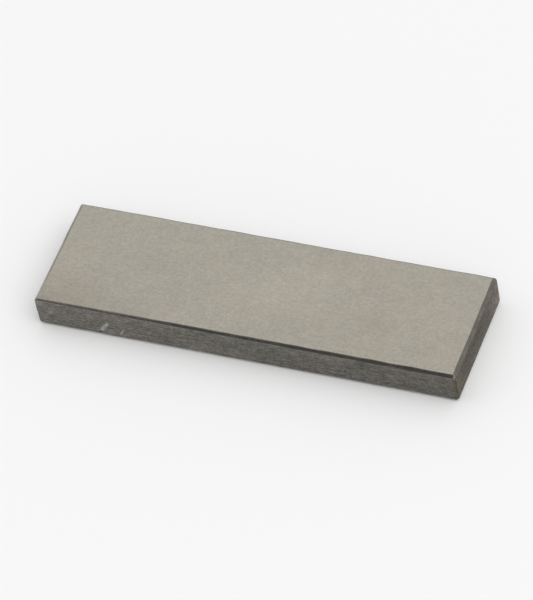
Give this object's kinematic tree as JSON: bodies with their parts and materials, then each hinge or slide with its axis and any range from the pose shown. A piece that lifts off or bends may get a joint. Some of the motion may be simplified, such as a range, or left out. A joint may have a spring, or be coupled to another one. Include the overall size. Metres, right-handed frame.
{
  "type": "gauge block",
  "caption": "Rectangular steel length standard: a small bar with two lapped, parallel measuring faces a known distance apart and broken edges all round.",
  "frame": {"origin": "centre of the lower measuring face, on which the block lies", "axes": "+X along the long sides, +Y along the short sides, +Z from the lower measuring face to the upper one"},
  "size_m": [0.03, 0.009, 0.0025],
  "materials": {
    "lapped_steel": "bare hardened steel, measuring faces lapped to a satin mirror, sides finely ground"
  },
  "bodies": {
    "root": {"gauge_block": "lapped_steel"}
  },
  "joints": []
}
